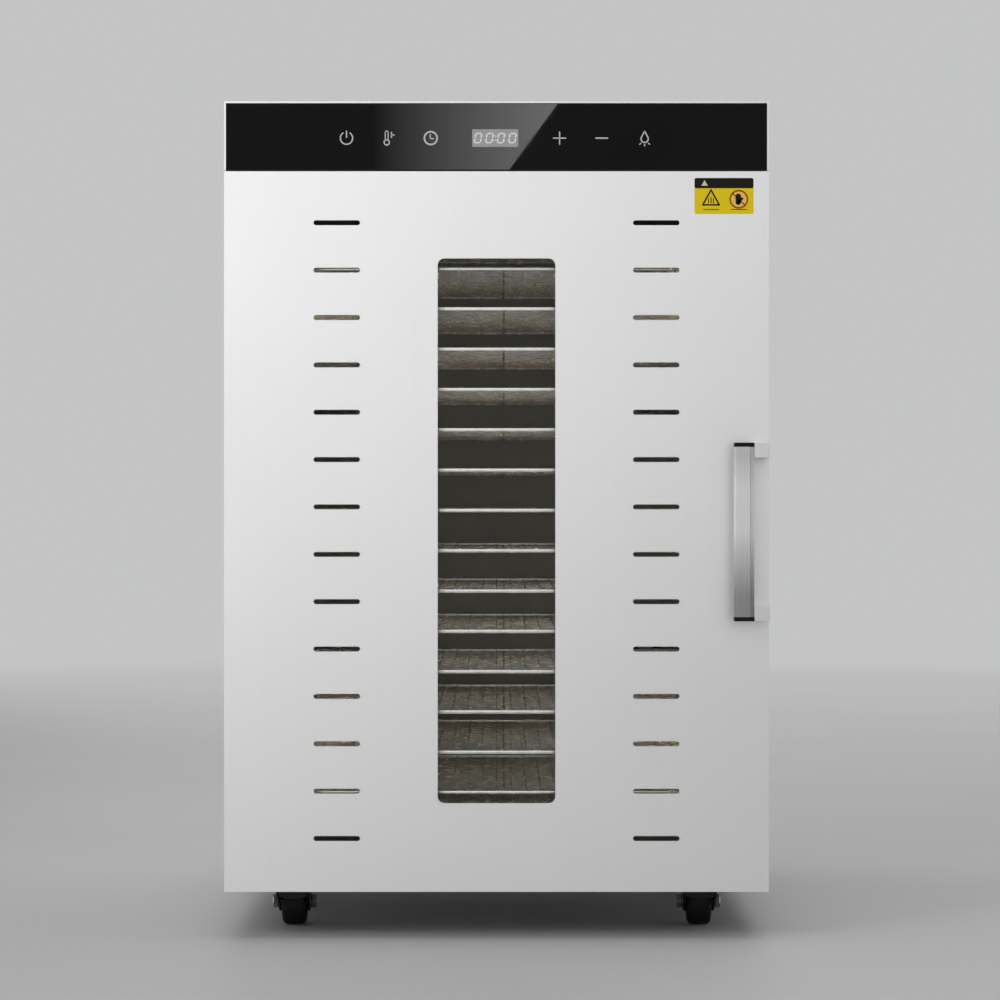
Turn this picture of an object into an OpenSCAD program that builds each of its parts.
// Tall front-loading food dehydrator on four swivel casters, in millimetres.
// +Z is up and the front faces -Y. The origin is on the floor, in the middle of the footprint.

/* [Cabinet] */
// Width of the cabinet and of its door
body_w = 436; // [380:2:540]
// Height from the floor to the top
body_h = 670; // [550:1:820]
// Depth from the door's face to the rear panel
body_d = 476; // [400:2:580]
// How far the cabinet's skirt reaches below its base plate
skirt_drop = 12.5; // [6:0.5:14]
// Height of the control strip above the door
head_h = 55; // [46:1:70]
// Thickness of the outer sheet
sheet_t = 1.5; // [1:0.1:2]
// Thickness of the inner sheet
liner_t = 1; // [0.8:0.1:1.5]
// Gap between the inner and the outer side walls
wall_gap = 17.5; // [14:0.5:26]
// Height of the chamber's floor above the base plate
floor_rise = 11.5; // [8:0.5:16]
// Distance from the door's top down to the chamber's ceiling
ceiling_drop = 14; // [13:0.5:20]
// Depth of the fan space behind the chamber
plenum_d = 65; // [62:0.5:90]

/* [Door] */
// Depth of the folded door pan
door_t = 18; // [16:0.5:24]
// Gap that the door seal fills
seal_gap = 4.5; // [3.5:0.1:6]
// Gap above the door
door_gap = 1; // [0.6:0.1:2]
// Width of the door seal
seal_w = 7; // [5:0.5:8]
// Distance of the hinge axis from the door's left edge
hinge_in_x = 7; // [6.5:0.1:8]
// Distance of the hinge axis from the door's face
hinge_in_y = 11; // [10:0.1:12]
// Radius of the hinge pins
hinge_pin_r = 2.5; // [2:0.1:3]
// Width of the window
window_w = 94.2; // [70:0.2:140]
// Distance from the door's top to the window
window_top = 69.7; // [55:0.1:110]
// Distance from the door's bottom to the window
window_bottom = 70.9; // [55:0.1:110]
// Corner radius of the window
window_r = 5.6; // [3:0.1:12]
// Thickness of the window glass
glass_t = 4; // [3:0.5:5]
// Rows of vent slots
slot_rows = 14; // [6:1:16]
// Length of a vent slot
slot_l = 37.2; // [24:0.2:48]
// Height of a vent slot
slot_h = 4; // [3:0.1:6]
// Distance of the slots' middle from the door's middle
slot_x = 127.8; // [110:0.2:150]
// Distance from the door's bottom to the lowest slot
slot_bottom = 42.7; // [40:0.1:70]
// Distance from the door's top to the highest slot
slot_top = 41.2; // [40:0.1:70]

/* [Handle] */
// Length of the grip with its end caps
grip_l = 141.2; // [100:0.2:220]
// Width of the grip
grip_w = 16; // [12:0.5:22]
// Thickness of the grip
grip_t = 11; // [8:0.5:14]
// How far the grip stands out from the door's face
handle_out = 34; // [26:0.5:46]
// Distance of the grip's outer side from the door's right edge
grip_in = 14.2; // [12:0.2:30]
// Thickness of the end caps
cap_t = 3.2; // [2:0.1:5]
// Side of the square arms
arm_s = 12; // [9:0.5:14]

/* [Trays] */
// Number of trays
tray_count = 16; // [6:1:16]
// Width of the gap between a tray and the side wall
tray_gap = 4; // [2:0.5:8]
// Height of the tray's edge
tray_edge_h = 3.2; // [2.4:0.1:5]
// Width of the tray's edge
tray_edge_w = 4; // [3:0.5:6]
// Thickness of the tray's mesh
mesh_t = 1.2; // [1:0.1:2]
// Spacing of the tray's wires that run front to back
mesh_pitch = 31; // [24:1:60]
// Spacing of the tray's cross wires
cross_pitch = 93; // [60:1:140]
// Width of the ledges that carry the trays
ledge_w = 12; // [8:0.5:16]
// Height of the ledges' flange
ledge_h = 8; // [5:0.5:12]
// Height of the lowest tray above the chamber's floor
tray_first = 17; // [14:0.5:30]
// Room above the highest tray
tray_room = 27.6; // [20:0.2:40]

/* [Casters] */
// Radius of the wheels
wheel_r = 19; // [15:0.5:24]
// Height of the base plate above the top of the wheels
caster_rise = 12; // [11:0.5:20]
// Width of the wheels
wheel_w = 20; // [14:0.5:22]
// Radius of the axles
axle_r = 3; // [2.5:0.1:4]
// Distance of the casters from the cabinet's sides
caster_in_x = 51; // [48:1:70]
// Distance of the casters from the door's face and the rear panel
caster_in_y = 80; // [70:1:100]
// Distance from a caster's swivel axis to its axle
trail = 12; // [9:0.5:14]
// Side of the casters' top plates
plate_s = 42; // [40:1:50]
// Radius of the king pins
king_r = 4; // [3:0.5:5]

/* [Fans and heat] */
// Radius of the impellers
fan_r = 78; // [56:1:96]
// Number of blades
blades = 5; // [3:1:7]
// Distance from the blade tips to the middle of the heater tube
ring_gap = 14; // [8:1:20]
// Radius of the heater tube
tube_r = 3.2; // [2.5:0.1:4]
// Radius of a fan shaft
shaft_r = 2.5; // [2:0.1:4]
// How far the fan guards stand out from the rear panel
guard_out = 10; // [6:0.5:16]

/* [Hidden] */
$fn = 48;
run_gap = 0.05; // radial clearance of a shaft in its bore
rest_gap = 0.2; // gap between faces that only just don't touch
screw_r = 1.7;
screw_hole = 1.9;
screw_head_r = 3.6;
screw_head_h = 2.2;

// Places in X
hw = body_w / 2;
in_hw = hw - sheet_t;
chamber_hw = in_hw - wall_gap - liner_t;
tray_hw = chamber_hw - tray_gap;

// Places in Y
front_y = handle_out - (handle_out + body_d + guard_out) / 2;
rear_y = front_y + body_d;
panel_in_y = rear_y - sheet_t;
flange_y = panel_in_y - sheet_t;
door_back_y = front_y + door_t;
frame_y = door_back_y + seal_gap;
chamber_y = frame_y + sheet_t;
baffle_y = rear_y - plenum_d;
baffle_t = 1.2;
tray_front_y = chamber_y + 6;
tray_back_y = baffle_y - 9;
ledge_y = tray_front_y + 12;

// Places in Z
base_z = 2 * wheel_r + caster_rise;
skirt_z = base_z - skirt_drop;
head_z = body_h - head_h;
top_in_z = body_h - sheet_t;
door_top = head_z - door_gap;
door_mid = (door_top + skirt_z) / 2;
base_t = 1.5;
base_top = base_z + base_t;
floor_z = base_top + floor_rise;
ceiling_z = door_top - ceiling_drop;
tray_z0 = floor_z + tray_first;
tray_z1 = ceiling_z - tray_room - tray_edge_h;
tray_pitch = (tray_z1 - tray_z0) / (tray_count - 1);
fan_zs = [for (k = [1, 3]) floor_z + (ceiling_z - floor_z) * k / 4];

// Door details
window_z = [skirt_z + window_bottom, door_top - window_top];
window_mid = (window_z[0] + window_z[1]) / 2;
window_h = window_z[1] - window_z[0];
slot_z0 = skirt_z + slot_bottom;
slot_pitch = (door_top - slot_top - slot_z0) / (slot_rows - 1);
gasket_t = 1;
retainer_t = 1.5;
glass_lap = 9;
retainer_lap = 21;
stud_lap = 15.5;
stud_r = 1.5;
stud_hole = 1.7;
glass_y = front_y + sheet_t + gasket_t;
retainer_y = glass_y + glass_t;
seal_in = 1.5;
hinge_x = -hw + hinge_in_x;
hinge_y = front_y + hinge_in_y;
bracket_t = 2.3;
bracket_r = 5.5;
bush_wall = 1;
bush_head = 0.9;
notch_h = 5;
grip_x1 = hw - grip_in;
grip_x0 = grip_x1 - grip_w;
grip_z0 = door_mid - grip_l / 2;
grip_z1 = door_mid + grip_l / 2;
grip_y0 = front_y - handle_out;
arm_zs = [grip_z0 + arm_s / 2, grip_z1 - arm_s / 2];
arm_x = grip_x1 + arm_s / 2;
label_size = [47.2, 28.8];
label_t = 0.3;
label_mid = [hw - 36, door_top - 19.8];

// Caster places
wheel_clear = 0.8;
leg_t = 2;
fork_in = wheel_w / 2 + wheel_clear;
fork_out = fork_in + leg_t;
plate_t = 2.5;
plate_z = base_z - plate_t;
race_h = 2.8;
crown_z1 = plate_z - race_h - rest_gap;
crown_t = 3;
plate_hole_r = 2.6;
plate_hole_in = 5.5;
casters = [
    for (y = [front_y + caster_in_y, rear_y - caster_in_y], x = [-1, 1])
        [x * (hw - caster_in_x), y]
];
caster_names = ["front_left", "front_right", "rear_left", "rear_right"];

function two_digits(n) = n < 10 ? str("0", n) : str(n);
tray_names = [for (i = [1:tray_count]) str("tray_", two_digits(i))];

// ---- Helpers ----

// A box from its lowest to its highest corner
module block(lo, hi) {
    translate(lo) cube(hi - lo);
}

// A rectangle with round corners, centred on the origin
module round_rect(size, r) {
    square([size[0] - 2 * r, size[1]], center = true);
    square([size[0], size[1] - 2 * r], center = true);
    for (x = [-1, 1], y = [-1, 1])
        translate([x * (size[0] / 2 - r), y * (size[1] / 2 - r)]) circle(r);
}

// An outline drawn in X and Z, extruded from y0 to y1
module along_y(y0, y1) {
    translate([0, y1, 0]) rotate([90, 0, 0]) linear_extrude(y1 - y0) children();
}

// An outline drawn in Y and Z, extruded from x0 to x1
module along_x(x0, x1) {
    translate([x0, 0, 0]) rotate([90, 0, 90]) linear_extrude(x1 - x0) children();
}

// A round bar or hole along Y
module rod_y(x, z, y0, y1, r) {
    translate([x, y0, z]) rotate([-90, 0, 0]) cylinder(h = y1 - y0, r = r);
}

// A screw whose head bears on the plane at y and whose shank points along +Y or -Y
module screw_y(x, z, y, shank, dir) {
    translate([x, y, z]) rotate([dir > 0 ? -90 : 90, 0, 0]) {
        cylinder(h = shank, r = screw_r);
        translate([0, 0, -screw_head_h]) cylinder(h = screw_head_h, r = screw_head_r);
    }
}

// A ring of round holes or dots round a middle, with six more in each ring
module perforation(rings, pitch, r) {
    circle(r);
    for (k = [1:rings], i = [0:6 * k - 1])
        rotate(60 * i / k) translate([k * pitch, 0]) circle(r);
}

// Straight-sided tube that runs along X, Y or Z between neighbouring points
module wire(points, r) {
    for (i = [0:len(points) - 2]) {
        a = points[i];
        b = points[i + 1];
        d = b - a;
        translate(a)
            rotate([0, acos(d[2] / norm(d)), atan2(d[1], d[0])])
            cylinder(h = norm(d), r = r);
        if (i > 0) translate(a) sphere(r * 1.06);
    }
}

// ---- Cabinet ----

module outer_shell() color("silver") {
    difference() {
        along_x(-hw, hw) polygon([
            [chamber_y, skirt_z], [rear_y, skirt_z], [rear_y, body_h],
            [front_y, body_h], [front_y, head_z], [chamber_y, head_z]
        ]);
        block([-in_hw, front_y - 1, 0], [in_hw, rear_y + 1, top_in_z]);
    }
    difference() {
        block([-in_hw, flange_y, skirt_z], [in_hw, panel_in_y, top_in_z]);
        block([-in_hw + 12, flange_y - 1, 0], [in_hw - 12, rear_y, top_in_z - 12]);
        for (p = rear_screws()) rod_y(p[0], p[1], flange_y - 1, rear_y, screw_hole);
    }
}

function rear_screws() = concat(
    [for (x = [-1, 1], z = [skirt_z + 30, door_mid, head_z]) [x * (in_hw - 6), z]],
    [for (x = [-0.35, 0, 0.35]) [x * body_w, top_in_z - 6]]
);

module front_frame() color("gainsboro") {
    along_y(frame_y, chamber_y) difference() {
        translate([-hw, skirt_z]) square([body_w, head_z - skirt_z]);
        translate([-chamber_hw, floor_z]) square([2 * chamber_hw, ceiling_z - floor_z]);
    }
}

lamp_w = 8;
lamp_y = tray_front_y + 6;
lamp_z = [tray_z0 - 6, ceiling_z - 14];
cable_hole = [chamber_hw - 14, rear_y - 36];
probe_xy = [110, baffle_y - 40];

module chamber_liner() color("lightgray") {
    difference() {
        block([-chamber_hw - liner_t, chamber_y, base_top],
              [chamber_hw + liner_t, flange_y, ceiling_z + liner_t]);
        block([-chamber_hw, chamber_y - 1, base_top - 1], [chamber_hw, rear_y, ceiling_z]);
        for (x = [-1, 1])
            translate([x * chamber_hw, lamp_y, (lamp_z[0] + lamp_z[1]) / 2])
                cube([4 * liner_t, lamp_w, lamp_z[1] - lamp_z[0]], center = true);
        translate([cable_hole[0], cable_hole[1], ceiling_z - 1]) cylinder(h = 5, r = 7);
        translate([probe_xy[0], probe_xy[1], ceiling_z - 1]) cylinder(h = 5, r = 3.1);
    }
}

module chamber_floor() color("lightgray") {
    difference() {
        block([-chamber_hw, chamber_y, base_top], [chamber_hw, flange_y, floor_z]);
        block([-chamber_hw + liner_t, chamber_y - 1, base_top - 1],
              [chamber_hw - liner_t, rear_y, floor_z - liner_t]);
    }
}

// Spacing of the air holes in front of and behind each fan
hole_pitch = fan_r / 4.4;
// Middle of the two groups of air holes beside each fan, which leave the baffle plain in front of it
band_x = chamber_hw - 80;

module rear_baffle() color("silver") {
    along_y(baffle_y, baffle_y + baffle_t) difference() {
        translate([-chamber_hw, floor_z]) square([2 * chamber_hw, ceiling_z - floor_z]);
        for (z = fan_zs, x = [-band_x, band_x])
            translate([x, z]) perforation(3, hole_pitch, 4.5);
    }
}

module tray_slides() color("gainsboro") {
    for (i = [0:tray_count - 1], x = [0, 1])
        mirror([x, 0, 0]) along_y(ledge_y, baffle_y - 1) {
            z = tray_z0 + i * tray_pitch - rest_gap;
            translate([chamber_hw - ledge_w, z - liner_t]) square([ledge_w, liner_t]);
            translate([chamber_hw - liner_t, z - ledge_h]) square([liner_t, ledge_h]);
        }
}

module base_plate() color("gray") {
    difference() {
        block([-in_hw, chamber_y, base_z], [in_hw, flange_y, base_top]);
        for (c = casters) translate([c[0], c[1], base_z - 1]) plate_holes(base_t + 2);
    }
}

module plate_holes(h) {
    d = plate_s / 2 - plate_hole_in;
    for (x = [-d, d], y = [-d, d]) translate([x, y, 0]) cylinder(h = h, r = plate_hole_r);
}

inlet_x = hw - 53;
inlet_z = base_z + 34;
inlet_body = [27.4, 19.6];
inlet_deep = 26;

module rear_panel() color("silver") {
    difference() {
        block([-in_hw, panel_in_y, skirt_z], [in_hw, rear_y, top_in_z]);
        for (z = fan_zs)
            along_y(flange_y, rear_y + 1) translate([0, z]) perforation(4, hole_pitch, 4);
        along_y(flange_y, rear_y + 1)
            translate([inlet_x, inlet_z]) square(inlet_body + [0.4, 0.4], center = true);
        for (p = rear_screws()) rod_y(p[0], p[1], flange_y, rear_y + 1, screw_hole);
    }
}

module fan_guards() color("dimgray") {
    plate = 2;
    wire_w = 2.4;
    ring_step = fan_r / 5;
    post_r = fan_r + 6;
    for (z = fan_zs) {
        along_y(rear_y + guard_out - plate, rear_y + guard_out) translate([0, z]) {
            circle(ring_step);
            for (k = [2:5]) difference() {
                circle(k * ring_step + wire_w / 2);
                circle(k * ring_step - wire_w / 2);
            }
            for (a = [45, 135]) rotate(a) square([2 * post_r + 10, 5], center = true);
        }
        for (a = [45:90:315])
            rod_y(post_r * cos(a), z + post_r * sin(a), rear_y, rear_y + guard_out - plate / 2, 4);
    }
}

// ---- Heat and air ----

ring_r = fan_r + ring_gap;
ring_y = baffle_y + 22;
fan_y = baffle_y + 16;
hub_l = 14;
blade_pitch_angle = 30;
blade_chord = 26;
motor_y = fan_y + hub_l + 3;
motor_l = 24;
motor_r = 27;
motor_foot = 52;
shaft_in = 12;

module heater_rings() color("dimgray") {
    gap = 24;
    for (z = fan_zs) translate([0, ring_y, z]) {
        rotate([90, 0, 0]) rotate(270 + gap / 2) rotate_extrude(angle = 360 - gap)
            translate([ring_r, 0]) circle(tube_r);
        for (a = [-gap / 2, gap / 2])
            translate([ring_r * sin(a), 0, -ring_r * cos(a)]) rotate([-90, 0, 0])
                cylinder(h = panel_in_y - ring_y, r = tube_r * 0.9);
    }
}

module fan_motors() color("dimgray") {
    arm_t = 2.5;
    back = motor_y + motor_l;
    for (z = fan_zs) {
        difference() {
            rod_y(0, z, motor_y, back, motor_r);
            rod_y(0, z, motor_y - 1, motor_y + shaft_in + 2, shaft_r + run_gap);
        }
        along_y(back - 0.5, back + arm_t) translate([0, z]) {
            circle(motor_r - 6);
            for (a = [90, 210, 330]) rotate(a) translate([0, -5]) square([motor_foot, 10]);
        }
        for (a = [90, 210, 330])
            rod_y(motor_foot * cos(a) * 0.9, z + motor_foot * sin(a) * 0.9, back + 1, panel_in_y, 3.6);
    }
}

module fan_impeller(z) color("gainsboro") {
    rod_y(0, z, fan_y - 2, motor_y + shaft_in, shaft_r);
    difference() {
        rod_y(0, z, fan_y, fan_y + hub_l, 16);
        rod_y(0, z, fan_y - 1, fan_y + 3, 9);
    }
    for (k = [0:blades - 1])
        translate([0, fan_y + hub_l / 2, z]) rotate([0, 360 * k / blades, 0])
            rotate([blade_pitch_angle, 0, 0])
            translate([12, -0.75, -blade_chord / 2]) cube([fan_r - 13, 1.5, blade_chord]);
}

// ---- Controls ----

glass_h = head_h - sheet_t - 0.3;
panel_glass_t = 3;
board_t = 1.6;
head_cx = -1;

module control_housing() color("dimgray") {
    y0 = front_y + panel_glass_t;
    side = in_hw - rest_gap;
    difference() {
        block([-side, y0, head_z], [side, chamber_y, top_in_z - rest_gap]);
        block([-side + 1.2, y0 + 1.5, head_z + 1.2], [side - 1.2, frame_y, body_h]);
        block([-side + 8, y0 - 1, head_z + 6], [side - 8, y0 + 2, top_in_z - 6]);
        rod_y(60, head_z + 20, frame_y - 1, chamber_y + 1, 5);
    }
}

module control_glass() color("black") {
    along_y(front_y, front_y + panel_glass_t)
        translate([0, head_z + glass_h / 2]) round_rect([2 * in_hw - 0.6, glass_h], 2.4);
}

touch_xs = [-120, -86, -52, 52, 86, 120];
symbol_z = head_z + glass_h / 2;
board_size = [300, head_h - 17];
display_size = [42, 19];

module touch_board() {
    glass_in = front_y + panel_glass_t;
    board_y = glass_in + 6;
    color("darkgreen") along_y(board_y, board_y + board_t)
        translate([head_cx, symbol_z]) square(board_size, center = true);
    color("silver") for (x = touch_xs)
        rod_y(head_cx + x, symbol_z, glass_in + rest_gap, board_y, 5);
    color("black") along_y(glass_in + rest_gap, board_y)
        translate([head_cx, symbol_z]) square(display_size, center = true);
    color("white") for (x = [-1, 1], z = [-1, 1])
        rod_y(head_cx + x * (board_size[0] / 2 - 5), symbol_z + z * (board_size[1] / 2 - 5),
              board_y + board_t, frame_y, 3);
}

power_y = chamber_y + 44;
power_size = [156, 116];
standoff_h = 5;

// A flat board on standoffs, with its parts placed from its front left corner
module power_board() translate([-power_size[0] / 2, power_y, ceiling_z + liner_t]) {
    z = standoff_h + board_t;
    color("white") for (x = [8, power_size[0] - 8], y = [8, power_size[1] - 8])
        translate([x, y, 0]) cylinder(h = standoff_h, r = 3);
    color("darkgreen") translate([0, 0, standoff_h]) cube([power_size[0], power_size[1], board_t]);
    color("goldenrod") translate([14, 12, z]) cube([40, 34, 27]);
    color("white") for (k = [0:2]) translate([72 + 24 * k, 12, z]) cube([18, 16, 15]);
    color("black") for (k = [0:1]) translate([30 + 26 * k, 86, z]) cylinder(h = 24, r = 8);
    color("silver") translate([88, 58, z]) cube([40, 8, 30]);
    color("green") translate([84, 96, z]) cube([60, 10, 12]);
}

module thermal_sensors() {
    color("silver") translate([probe_xy[0], probe_xy[1], ceiling_z - 16]) {
        cylinder(h = 24, r = 3);
        translate([0, 0, 16 + liner_t]) cylinder(h = 4, r = 6, $fn = 6);
    }
    color("black") rod_y(120, window_mid, baffle_y + baffle_t, baffle_y + baffle_t + 9, 8);
}

module chamber_lamps() {
    h = lamp_z[1] - lamp_z[0];
    for (x = [0, 1]) mirror([x, 0, 0]) translate([chamber_hw, lamp_y - lamp_w / 2, lamp_z[0]]) {
        color("white") translate([0.2, 0.3, 0.3]) cube([3, lamp_w - 0.6, h - 0.6]);
        color("silver") translate([3.4, -2, -4]) cube([5, lamp_w + 4, h + 8]);
    }
}

module power_inlet() color("black") {
    deep = 16;
    back = rear_y + 2.5;
    difference() {
        union() {
            along_y(rear_y - inlet_deep, back)
                translate([inlet_x, inlet_z]) square(inlet_body, center = true);
            along_y(rear_y, back)
                translate([inlet_x, inlet_z]) round_rect([44, 26], 3);
        }
        along_y(back - deep, back + 1)
            translate([inlet_x, inlet_z]) round_rect([23.6, 15.8], 2);
    }
    for (p = [[-7, -2], [0, 2], [7, -2]])
        along_y(back - deep, back - 6)
            translate([inlet_x + p[0], inlet_z + p[1]]) square([2, 4], center = true);
}

// The mains lead from the inlet to the power board, the lead to the touch board and two fan leads
module wiring_harness() color("black") {
    cx = cable_hole[0];
    cy = cable_hole[1];
    top = ceiling_z + 22;
    main_y = power_y + 101;
    main_r = 3;
    head_lead = [60, head_z + 20];
    wire([[inlet_x, rear_y - inlet_deep, inlet_z], [inlet_x, cy, inlet_z], [cx, cy, inlet_z + 20],
          [cx, cy, top], [cx, main_y, top], [power_size[0] / 2 - 11.5, main_y, ceiling_z + 12]], main_r);
    wire([[head_lead[0], power_y - 2, ceiling_z + 12], [head_lead[0], chamber_y + 4, head_lead[1]],
          [head_lead[0], front_y + 16, head_lead[1]]], 2.5);
    for (z = fan_zs)
        wire([[cx - main_r - 0.4, cy, z + 20], [motor_r + 33, cy + 8, z + 8],
              [motor_r + 0.3, motor_y + 10, z]], 1.8);
}

// ---- Casters ----

module caster_plates() color("silver") {
    for (c = casters) translate([c[0], c[1], 0]) {
        difference() {
            translate([0, 0, plate_z]) linear_extrude(plate_t) round_rect([plate_s, plate_s], 4);
            translate([0, 0, plate_z - 1]) plate_holes(plate_t + 2);
        }
        translate([0, 0, crown_z1 + rest_gap]) cylinder(h = race_h, r = 13.5);
        translate([0, 0, crown_z1 - crown_t - 2.4]) cylinder(h = crown_t + 3, r = king_r);
        translate([0, 0, crown_z1 - crown_t - 2.5]) cylinder(h = 2.3, r = king_r + 2.5);
    }
}

module caster_fork(c) translate([c[0], c[1], 0]) {
    color("silver") difference() {
        union() {
            translate([-fork_out, -15, crown_z1 - crown_t]) cube([2 * fork_out, 32, crown_t]);
            for (x = [-fork_out, fork_in]) along_x(x, x + leg_t) {
                polygon([[-15, crown_z1], [-15, crown_z1 - 8], [trail - 8, wheel_r],
                         [trail + 8, wheel_r], [17, crown_z1]]);
                translate([trail, wheel_r]) circle(8.2);
            }
        }
        translate([0, 0, crown_z1 - crown_t - 1]) cylinder(h = crown_t + 2, r = king_r + run_gap);
        translate([-fork_out - 1, trail, wheel_r]) rotate([0, 90, 0])
            cylinder(h = 2 * fork_out + 2, r = axle_r + run_gap);
    }
    color("gainsboro") translate([0, trail, wheel_r]) rotate([0, 90, 0]) {
        translate([0, 0, -fork_out - 2]) cylinder(h = 2 * fork_out + 4, r = axle_r);
        for (z = [-fork_out - 5.2, fork_out + 0.2])
            translate([0, 0, z]) cylinder(h = 5, r = 5.6, $fn = 6);
    }
}

module caster_wheel(c) color("black") {
    edge_r = 5;
    bore = axle_r + run_gap + 0.03;
    translate([c[0], c[1] + trail, wheel_r]) rotate([0, 90, 0]) rotate_extrude() {
        difference() {
            translate([bore, -wheel_w / 2]) square([wheel_r - edge_r - bore, wheel_w]);
            for (s = [-1, 1]) translate([8, s * (wheel_w / 2) - 1.2])
                square([wheel_r - edge_r - 9.5, 2.4]);
        }
        translate([wheel_r - edge_r - 1, -wheel_w / 2 + edge_r])
            square([edge_r + 1, wheel_w - 2 * edge_r]);
        for (s = [-1, 1]) translate([wheel_r - edge_r, s * (wheel_w / 2 - edge_r)]) circle(edge_r);
        translate([bore, -wheel_w / 2 - 0.5]) square([3, wheel_w + 1]);
    }
}

// ---- Door ----

// Everything that the pan's folded edges lose so that the hinge brackets pass
module hinge_notches() {
    for (z = [skirt_z + sheet_t, door_top - sheet_t - notch_h])
        block([-hw - 1, front_y + sheet_t, z], [hinge_x + 11, door_back_y + 1, z + notch_h]);
}

module door_panel() color("silver") {
    difference() {
        block([-hw, front_y, skirt_z], [hw, door_back_y, door_top]);
        block([-in_hw, front_y + sheet_t, skirt_z + sheet_t],
              [in_hw, door_back_y - sheet_t, door_top - sheet_t]);
        block([-chamber_hw, door_back_y - 2 * sheet_t, floor_z],
              [chamber_hw, door_back_y + 1, ceiling_z]);
        along_y(front_y - 1, front_y + sheet_t + 1) {
            translate([0, window_mid]) round_rect([window_w, window_h], window_r);
            for (s = [-1, 1], i = [0:slot_rows - 1])
                translate([s * slot_x, slot_z0 + i * slot_pitch])
                    round_rect([slot_l, slot_h], slot_h / 2 - 0.01);
        }
        for (z = arm_zs) rod_y(arm_x, z, front_y - 1, front_y + sheet_t + 1, screw_hole);
        hinge_notches();
        for (z = [skirt_z - 1, door_top - sheet_t - 1])
            translate([hinge_x, hinge_y, z])
                cylinder(h = sheet_t + 2, r = hinge_pin_r + run_gap + bush_wall);
    }
}

module door_glass() color("lightblue", 0.4) {
    along_y(glass_y, glass_y + glass_t) translate([0, window_mid])
        round_rect([window_w + 2 * glass_lap, window_h + 2 * glass_lap], 4);
}

module glass_gasket() color("black") {
    along_y(front_y + sheet_t, glass_y) translate([0, window_mid]) difference() {
        round_rect([window_w + 2 * glass_lap, window_h + 2 * glass_lap], 4);
        round_rect([window_w + 5, window_h + 5], window_r + 2.5);
    }
}

function stud_places() = concat(
    [for (x = [-1, 1], k = [0:4])
        [x * (window_w / 2 + stud_lap), window_z[0] + k * window_h / 4]],
    [for (z = [window_z[0] - stud_lap, window_z[1] + stud_lap]) [0, z]]
);

module glass_retainer() color("gainsboro") {
    size = [window_w + 2 * retainer_lap, window_h + 2 * retainer_lap];
    difference() {
        along_y(front_y + sheet_t, retainer_y + retainer_t) translate([0, window_mid])
            round_rect(size, 5);
        along_y(front_y, retainer_y) translate([0, window_mid])
            round_rect(size - [3, 3], 3.5);
        along_y(front_y, door_back_y) translate([0, window_mid])
            round_rect([window_w + 2, window_h + 2], window_r + 1);
        for (p = stud_places()) rod_y(p[0], p[1], retainer_y - 1, door_back_y, stud_hole);
    }
}

module door_screws() color("gray") {
    for (p = stud_places()) {
        rod_y(p[0], p[1], front_y + sheet_t, retainer_y + retainer_t + 2.8, stud_r);
        translate([p[0], retainer_y + retainer_t, p[1]]) rotate([-90, 0, 0])
            cylinder(h = 2.2, r = 3.1, $fn = 6);
    }
    for (z = arm_zs) screw_y(arm_x, z, front_y + sheet_t, 12, -1);
}

module door_seal() color("dimgray") {
    inner = [2 * (chamber_hw + seal_in), ceiling_z - floor_z + 2 * seal_in];
    along_y(door_back_y, frame_y - rest_gap)
        translate([0, (floor_z + ceiling_z) / 2]) difference() {
            round_rect(inner + 2 * [seal_w, seal_w], 6);
            round_rect(inner, 2);
        }
}

module handle_grip() color("gray") {
    cut = 2.4;
    translate([0, 0, grip_z0 + cap_t]) linear_extrude(grip_l - 2 * cap_t) polygon([
        [grip_x0 + cut, grip_y0], [grip_x1 - cut, grip_y0], [grip_x1, grip_y0 + cut],
        [grip_x1, grip_y0 + grip_t], [grip_x0, grip_y0 + grip_t], [grip_x0, grip_y0 + cut]
    ]);
}

module handle_arms() color("silver") {
    for (z = arm_zs) difference() {
        block([grip_x1, grip_y0 + 2, z - arm_s / 2], [grip_x1 + arm_s, front_y, z + arm_s / 2]);
        rod_y(arm_x, z, front_y - 13, front_y + 1, screw_hole);
    }
}

module handle_caps() color("black") {
    for (z = [grip_z0, grip_z1 - cap_t])
        block([grip_x0, grip_y0, z], [grip_x1, grip_y0 + grip_t, z + cap_t]);
}

module door_label() color("gold") {
    along_y(front_y - label_t, front_y)
        translate(label_mid) round_rect(label_size, 1.5);
}

// Flanged bushes in the pan's top and bottom
module hinge_bushes() color("white") {
    bore = hinge_pin_r + run_gap;
    for (top = [0, 1]) {
        z = top ? door_top - sheet_t : skirt_z + sheet_t;
        translate([hinge_x, hinge_y, z]) mirror([0, 0, top ? 0 : 1]) difference() {
            union() {
                cylinder(h = sheet_t, r = bore + bush_wall);
                translate([0, 0, -bush_head]) cylinder(h = bush_head, r = bore + bush_wall + 1.2);
            }
            translate([0, 0, -2]) cylinder(h = 5, r = bore);
        }
    }
}

// Brackets on the front frame, each with the pin that the door turns on
module hinge_brackets() color("gray") {
    lift = bush_head + rest_gap;
    for (top = [0, 1]) {
        z = top ? door_top - sheet_t - lift - bracket_t : skirt_z + sheet_t + lift;
        translate([hinge_x, hinge_y, z]) {
            cylinder(h = bracket_t, r = bracket_r);
            translate([-4, 0, 0]) cube([10, frame_y - hinge_y, bracket_t]);
            translate([0, 0, top ? 0 : -lift - sheet_t + rest_gap])
                cylinder(h = bracket_t + lift + sheet_t - rest_gap, r = hinge_pin_r);
        }
    }
}

module door_magnets() color("dimgray") {
    for (z = [-200, 200])
        block([hw - 9, door_back_y + rest_gap, door_mid + z - 20],
              [hw - 2, frame_y, door_mid + z + 20]);
}

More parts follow.
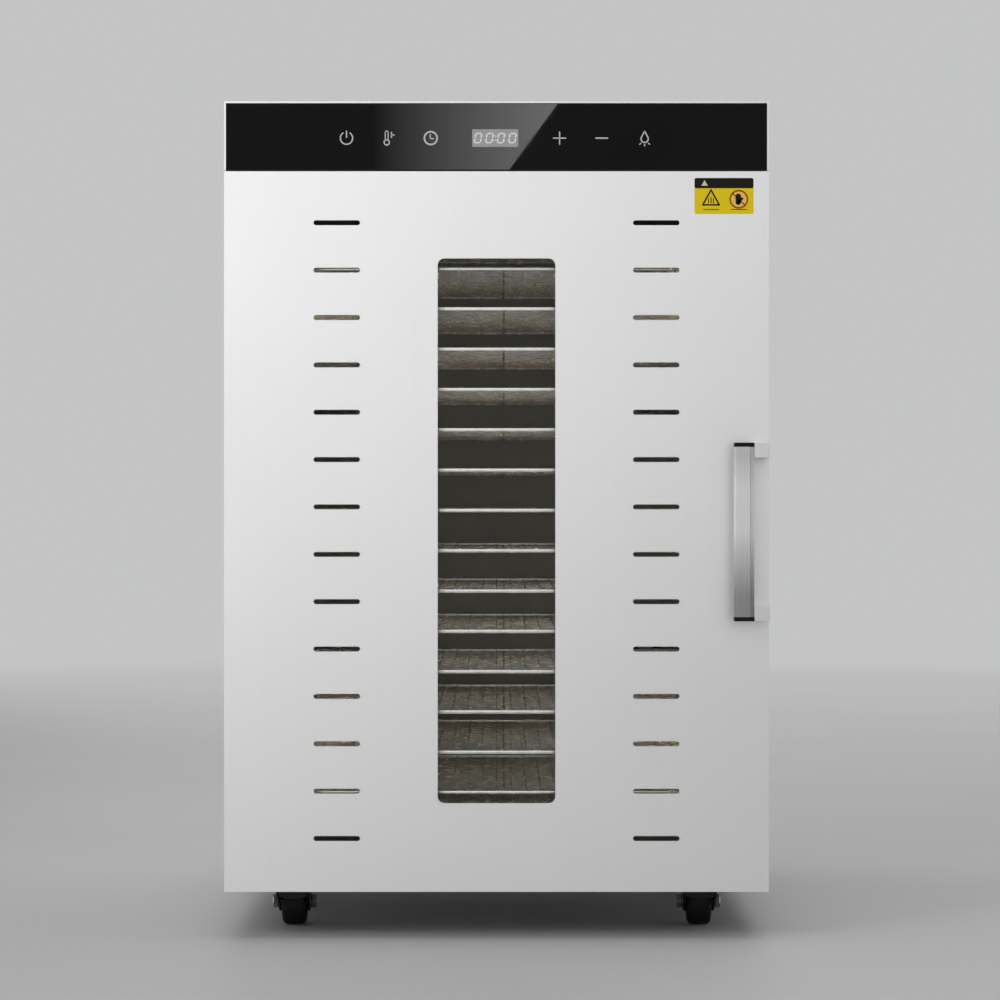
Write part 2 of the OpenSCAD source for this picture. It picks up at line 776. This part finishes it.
module body_screws() color("gainsboro") {
    for (p = rear_screws()) screw_y(p[0], p[1], rear_y, 10, -1);
    d = plate_s / 2 - plate_hole_in;
    for (c = casters, x = [-d, d], y = [-d, d]) translate([c[0] + x, c[1] + y, 0]) {
        translate([0, 0, plate_z - 2.3]) cylinder(h = base_top + 5 - plate_z, r = 2.4);
        translate([0, 0, plate_z - 2.3]) cylinder(h = 2.3, r = 4);
        translate([0, 0, base_top]) cylinder(h = 3, r = 4.4, $fn = 6);
    }
}

// ---- Trays ----

// One tray: a rod frame with a wire mesh, its underside at z
module tray(z) color("silver") {
    w = 2 * tray_hw;
    d = tray_back_y - tray_front_y;
    nx = round(w / mesh_pitch);
    ny = round(d / cross_pitch);
    translate([0, (tray_front_y + tray_back_y) / 2, z]) {
        linear_extrude(tray_edge_h) difference() {
            round_rect([w, d], 12);
            round_rect([w - 2 * tray_edge_w, d - 2 * tray_edge_w], 12 - tray_edge_w);
        }
        translate([0, 0, (tray_edge_h - mesh_t) / 2]) linear_extrude(mesh_t) {
            for (i = [1:nx - 1])
                translate([(i / nx - 0.5) * w, 0]) square([mesh_t, d - 2], center = true);
            for (i = [1:ny - 1])
                translate([0, (i / ny - 0.5) * d]) square([w - 2, mesh_t], center = true);
        }
    }
}

outer_shell();
front_frame();
chamber_liner();
chamber_floor();
rear_baffle();
tray_slides();
base_plate();
rear_panel();
fan_guards();
heater_rings();
fan_motors();
control_housing();
control_glass();
touch_board();
power_board();
thermal_sensors();
chamber_lamps();
power_inlet();
wiring_harness();
hinge_brackets();
door_magnets();
body_screws();
caster_plates();
door_panel();
door_glass();
glass_gasket();
glass_retainer();
door_screws();
door_seal();
handle_grip();
handle_arms();
handle_caps();
door_label();
hinge_bushes();
fan_impeller(fan_zs[0]);  // fan_impeller_lower
fan_impeller(fan_zs[1]);  // fan_impeller_upper
for (i = [0:3]) {
    caster_fork(casters[i]);
    caster_wheel(casters[i]);
}
for (i = [0:tray_count - 1])
    tray(tray_z0 + i * tray_pitch);
